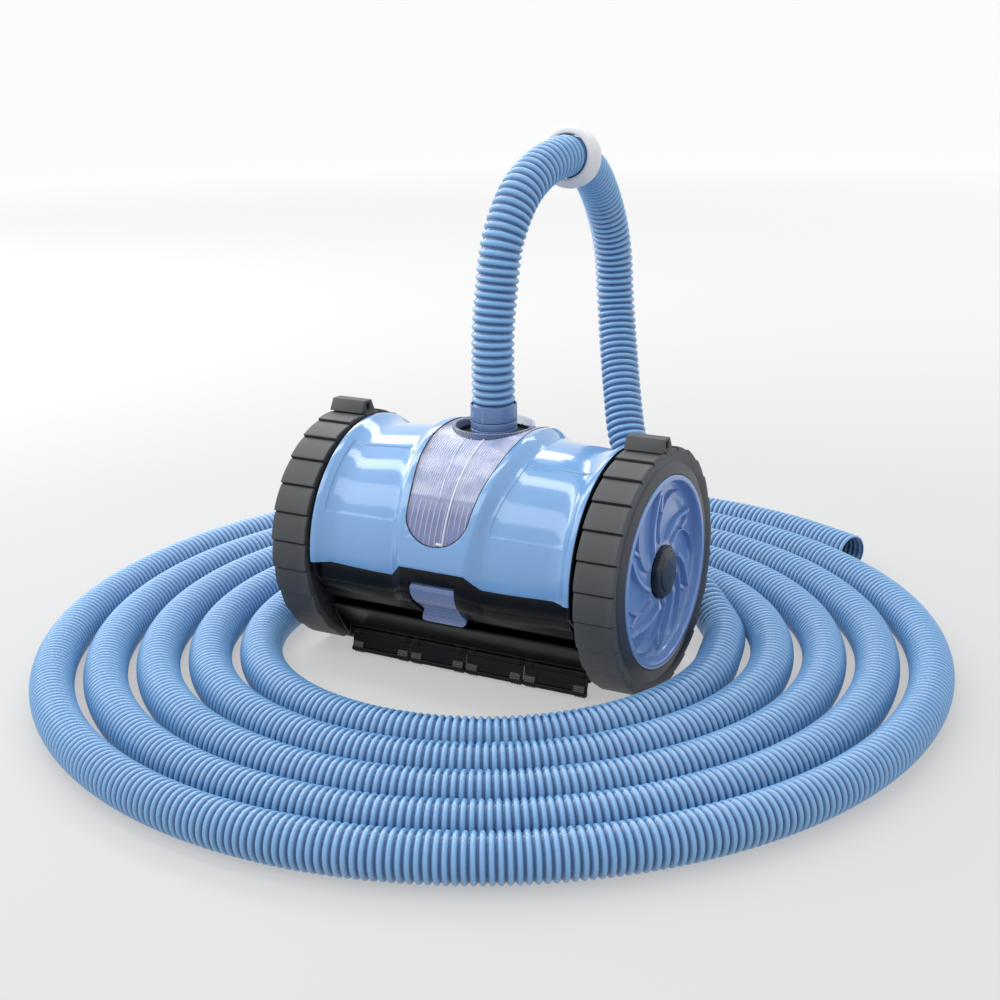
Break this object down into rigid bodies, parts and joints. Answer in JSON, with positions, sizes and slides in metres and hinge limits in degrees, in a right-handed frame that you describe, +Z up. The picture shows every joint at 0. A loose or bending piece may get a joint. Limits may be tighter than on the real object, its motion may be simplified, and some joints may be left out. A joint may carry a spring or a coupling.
{
  "type": "pool cleaner",
  "caption": "Suction pool cleaner on ribbed wheels with a clear turbine window, a flapped suction foot, and a corrugated hose that arches up and lies in a flat coil round it.",
  "frame": {"origin": "On the floor, under the middle of the wheel axle.", "axes": "+X along the axle towards the right wheel, -Y to the front with the latch and the flaps, +Z up."},
  "size_m": [0.9695, 0.9961, 0.547],
  "materials": {
    "body_blue": "glossy light blue moulding",
    "collar_blue": "satin mid blue moulding",
    "clear_plastic": "clear ribbed polycarbonate",
    "black_plastic": "glossy black moulding",
    "cap_black": "satin blue-black cap",
    "tyre_rubber": "matte dark grey moulded rubber",
    "seal_rubber": "soft black rubber",
    "inner_plastic": "pale grey inner moulding",
    "acetal": "off-white acetal",
    "steel": "stainless steel",
    "hose_blue": "satin blue corrugated polyethylene",
    "float_white": "white foam-filled ring"
  },
  "bodies": {
    "chassis": {"top_cover": "body_blue", "turbine_window": "clear_plastic", "window_rim": "clear_plastic", "lower_chassis": "black_plastic", "left_end_plate": "black_plastic", "right_end_plate": "black_plastic", "left_bulkhead": "inner_plastic", "right_bulkhead": "inner_plastic", "left_gear_plate": "inner_plastic", "right_gear_plate": "inner_plastic", "left_turbine_bearing": "acetal", "right_turbine_bearing": "acetal", "left_inner_bush": "acetal", "right_inner_bush": "acetal", "left_outer_bush": "acetal", "right_outer_bush": "acetal", "left_lay_pin": "steel", "right_lay_pin": "steel", "front_tie_rod": "steel", "rear_tie_rod": "steel", "outlet_pipe": "inner_plastic", "swivel_seal": "seal_rubber", "latch_pin": "steel", "foot_hinge_pin": "steel", "hose_cuff": "collar_blue", "hose_rise": "hose_blue", "hose_float": "float_white", "hose_coil": "hose_blue"},
    "left_wheel": {"left_tyre": "tyre_rubber", "left_cleat": "tyre_rubber", "left_hub": "body_blue", "left_hub_cap": "cap_black", "left_axle": "steel", "left_axle_gear": "acetal"},
    "right_wheel": {"right_tyre": "tyre_rubber", "right_cleat": "tyre_rubber", "right_hub": "body_blue", "right_hub_cap": "cap_black", "right_axle": "steel", "right_axle_gear": "acetal"},
    "turbine": {"turbine_rotor": "inner_plastic", "turbine_shaft": "steel", "left_turbine_pinion": "acetal", "right_turbine_pinion": "acetal"},
    "left_lay": {"left_lay_gear": "acetal"},
    "right_lay": {"right_lay_gear": "acetal"},
    "swivel": {"swivel_collar": "collar_blue"},
    "latch": {"latch": "body_blue"},
    "foot": {"suction_foot": "black_plastic", "front_flap_rod": "steel", "rear_skirt": "seal_rubber"},
    "flap_1": {"front_flap_1": "black_plastic"},
    "flap_2": {"front_flap_2": "black_plastic"},
    "flap_3": {"front_flap_3": "black_plastic"},
    "flap_4": {"front_flap_4": "black_plastic"}
  },
  "joints": [
    {"name": "left_wheel_spin", "type": "hinge", "parent": "chassis", "child": "left_wheel", "pos_m": [0, 0, 0.127], "axis": [1, 0, 0], "continuous": true},
    {"name": "right_wheel_spin", "type": "hinge", "parent": "chassis", "child": "right_wheel", "pos_m": [0, 0, 0.127], "axis": [1, 0, 0], "continuous": true},
    {"name": "turbine_spin", "type": "hinge", "parent": "chassis", "child": "turbine", "pos_m": [0, 0, 0.127], "axis": [1, 0, 0], "continuous": true},
    {"name": "left_lay_spin", "type": "hinge", "parent": "chassis", "child": "left_lay", "pos_m": [0, 0.036, 0.127], "axis": [1, 0, 0], "continuous": true},
    {"name": "right_lay_spin", "type": "hinge", "parent": "chassis", "child": "right_lay", "pos_m": [0, 0.036, 0.127], "axis": [1, 0, 0], "continuous": true},
    {"name": "swivel_spin", "type": "hinge", "parent": "chassis", "child": "swivel", "pos_m": [0, 0.0066, 0.2535], "axis": [0, 0, 1], "continuous": true},
    {"name": "latch_lift", "type": "hinge", "parent": "chassis", "child": "latch", "pos_m": [0, -0.122, 0.1165], "axis": [-1, 0, 0], "range_deg": [0, 50]},
    {"name": "foot_open", "type": "hinge", "parent": "chassis", "child": "foot", "pos_m": [0, 0.078, 0.059], "axis": [1, 0, 0], "range_deg": [0, 55]},
    {"name": "flap_1_swing", "type": "hinge", "parent": "foot", "child": "flap_1", "pos_m": [0, -0.06, 0.0275], "axis": [1, 0, 0], "range_deg": [-35, 35]},
    {"name": "flap_2_swing", "type": "hinge", "parent": "foot", "child": "flap_2", "pos_m": [0, -0.06, 0.0275], "axis": [1, 0, 0], "range_deg": [-35, 35]},
    {"name": "flap_3_swing", "type": "hinge", "parent": "foot", "child": "flap_3", "pos_m": [0, -0.06, 0.0275], "axis": [1, 0, 0], "range_deg": [-35, 35]},
    {"name": "flap_4_swing", "type": "hinge", "parent": "foot", "child": "flap_4", "pos_m": [0, -0.06, 0.0275], "axis": [1, 0, 0], "range_deg": [-35, 35]}
  ],
  "couplings": [
    {"joint": "right_wheel_spin", "follows": "left_wheel_spin", "ratio": 1},
    {"joint": "turbine_spin", "follows": "left_wheel_spin", "ratio": 9},
    {"joint": "left_lay_spin", "follows": "left_wheel_spin", "ratio": -3},
    {"joint": "right_lay_spin", "follows": "left_wheel_spin", "ratio": -3}
  ]
}
